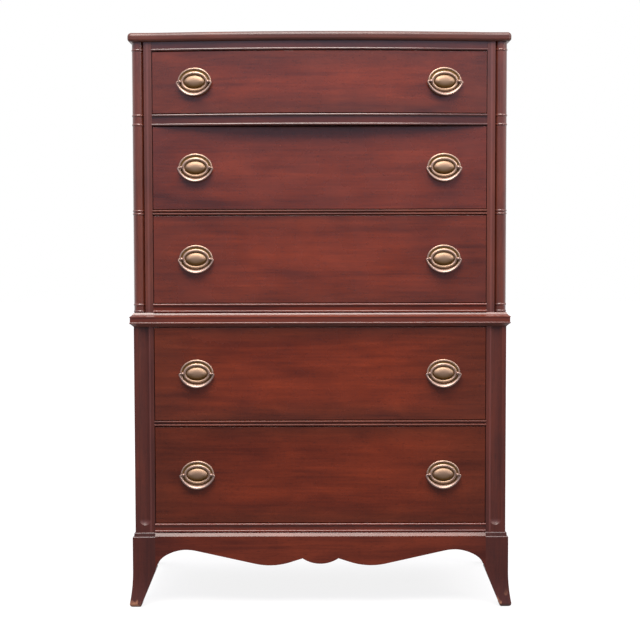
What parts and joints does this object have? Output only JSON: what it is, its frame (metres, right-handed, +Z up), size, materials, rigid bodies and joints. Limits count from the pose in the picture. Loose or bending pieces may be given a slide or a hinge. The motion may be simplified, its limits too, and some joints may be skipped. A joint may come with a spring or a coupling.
{
  "type": "chest of drawers",
  "caption": "Tall mahogany chest of drawers with a bowed top drawer, oval bail pulls, ring-turned corner columns, a waist moulding and splayed bracket feet.",
  "frame": {"origin": "on the floor, under the middle of the chest's bounding box", "axes": "+Z up, +X to the viewer's right when facing the drawers, +Y from the drawer fronts to the back"},
  "size_m": [0.924, 0.52, 1.3805],
  "materials": {
    "mahogany_top": "satin lacquer",
    "mahogany_fronts": "satin lacquer, shaded edges",
    "mahogany_rails": "satin lacquer",
    "mahogany_posts": "satin lacquer",
    "mahogany_sides": "satin lacquer",
    "drawer_wood": "bare sanded wood",
    "panel_wood": "bare plywood",
    "brass": "antiqued and lacquered",
    "steel": "plain"
  },
  "bodies": {
    "case": {"top_board": "mahogany_top", "top_rail": "mahogany_rails", "upper_rail": "mahogany_rails", "middle_rail": "mahogany_rails", "waist_rail": "mahogany_rails", "lower_rail": "mahogany_rails", "base_rail": "mahogany_rails", "waist_moulding": "mahogany_rails", "front_apron": "mahogany_rails", "side_aprons": "mahogany_rails", "left_post": "mahogany_posts", "right_post": "mahogany_posts", "left_column": "mahogany_posts", "right_column": "mahogany_posts", "front_feet": "mahogany_posts", "back_feet": "mahogany_posts", "left_side_panel": "mahogany_sides", "right_side_panel": "mahogany_sides", "web_frames": "drawer_wood", "drawer_guides": "drawer_wood", "glue_blocks": "drawer_wood", "dust_panels": "panel_wood", "back_panel": "panel_wood", "top_screws": "steel"},
    "drawer_1": {"drawer_1_front": "mahogany_fronts", "drawer_1_sides": "drawer_wood", "drawer_1_back": "drawer_wood", "drawer_1_bottom": "panel_wood", "drawer_1_pulls": "brass"},
    "bail_1_left": {"drawer_1_left_bail": "brass"},
    "bail_1_right": {"drawer_1_right_bail": "brass"},
    "drawer_2": {"drawer_2_front": "mahogany_fronts", "drawer_2_sides": "drawer_wood", "drawer_2_back": "drawer_wood", "drawer_2_bottom": "panel_wood", "drawer_2_pulls": "brass"},
    "bail_2_left": {"drawer_2_left_bail": "brass"},
    "bail_2_right": {"drawer_2_right_bail": "brass"},
    "drawer_3": {"drawer_3_front": "mahogany_fronts", "drawer_3_sides": "drawer_wood", "drawer_3_back": "drawer_wood", "drawer_3_bottom": "panel_wood", "drawer_3_pulls": "brass"},
    "bail_3_left": {"drawer_3_left_bail": "brass"},
    "bail_3_right": {"drawer_3_right_bail": "brass"},
    "drawer_4": {"drawer_4_front": "mahogany_fronts", "drawer_4_sides": "drawer_wood", "drawer_4_back": "drawer_wood", "drawer_4_bottom": "panel_wood", "drawer_4_pulls": "brass"},
    "bail_4_left": {"drawer_4_left_bail": "brass"},
    "bail_4_right": {"drawer_4_right_bail": "brass"},
    "drawer_5": {"drawer_5_front": "mahogany_fronts", "drawer_5_sides": "drawer_wood", "drawer_5_back": "drawer_wood", "drawer_5_bottom": "panel_wood", "drawer_5_pulls": "brass"},
    "bail_5_left": {"drawer_5_left_bail": "brass"},
    "bail_5_right": {"drawer_5_right_bail": "brass"}
  },
  "joints": [
    {"name": "drawer_1_slide", "type": "slide", "parent": "case", "child": "drawer_1", "axis": [0, -1, 0], "range_m": [0, 0.34]},
    {"name": "bail_1_left_swing", "type": "hinge", "parent": "drawer_1", "child": "bail_1_left", "pos_m": [-0.29791, -0.24532, 1.2635], "axis": [-0.9948, 0.1016, 0], "range_deg": [0, 100]},
    {"name": "bail_1_right_swing", "type": "hinge", "parent": "drawer_1", "child": "bail_1_right", "pos_m": [0.29791, -0.24532, 1.2635], "axis": [-0.9948, -0.1016, 0], "range_deg": [0, 100]},
    {"name": "drawer_2_slide", "type": "slide", "parent": "case", "child": "drawer_2", "axis": [0, -1, 0], "range_m": [0, 0.34]},
    {"name": "bail_2_left_swing", "type": "hinge", "parent": "drawer_2", "child": "bail_2_left", "pos_m": [-0.297, -0.233, 1.06125], "axis": [-1, 0, 0], "range_deg": [0, 100]},
    {"name": "bail_2_right_swing", "type": "hinge", "parent": "drawer_2", "child": "bail_2_right", "pos_m": [0.297, -0.233, 1.06125], "axis": [-1, 0, 0], "range_deg": [0, 100]},
    {"name": "drawer_3_slide", "type": "slide", "parent": "case", "child": "drawer_3", "axis": [0, -1, 0], "range_m": [0, 0.34]},
    {"name": "bail_3_left_swing", "type": "hinge", "parent": "drawer_3", "child": "bail_3_left", "pos_m": [-0.297, -0.233, 0.843], "axis": [-1, 0, 0], "range_deg": [0, 100]},
    {"name": "bail_3_right_swing", "type": "hinge", "parent": "drawer_3", "child": "bail_3_right", "pos_m": [0.297, -0.233, 0.843], "axis": [-1, 0, 0], "range_deg": [0, 100]},
    {"name": "drawer_4_slide", "type": "slide", "parent": "case", "child": "drawer_4", "axis": [0, -1, 0], "range_m": [0, 0.34]},
    {"name": "bail_4_left_swing", "type": "hinge", "parent": "drawer_4", "child": "bail_4_left", "pos_m": [-0.297, -0.233, 0.5675], "axis": [-1, 0, 0], "range_deg": [0, 100]},
    {"name": "bail_4_right_swing", "type": "hinge", "parent": "drawer_4", "child": "bail_4_right", "pos_m": [0.297, -0.233, 0.5675], "axis": [-1, 0, 0], "range_deg": [0, 100]},
    {"name": "drawer_5_slide", "type": "slide", "parent": "case", "child": "drawer_5", "axis": [0, -1, 0], "range_m": [0, 0.34]},
    {"name": "bail_5_left_swing", "type": "hinge", "parent": "drawer_5", "child": "bail_5_left", "pos_m": [-0.297, -0.233, 0.32225], "axis": [-1, 0, 0], "range_deg": [0, 100]},
    {"name": "bail_5_right_swing", "type": "hinge", "parent": "drawer_5", "child": "bail_5_right", "pos_m": [0.297, -0.233, 0.32225], "axis": [-1, 0, 0], "range_deg": [0, 100]}
  ]
}
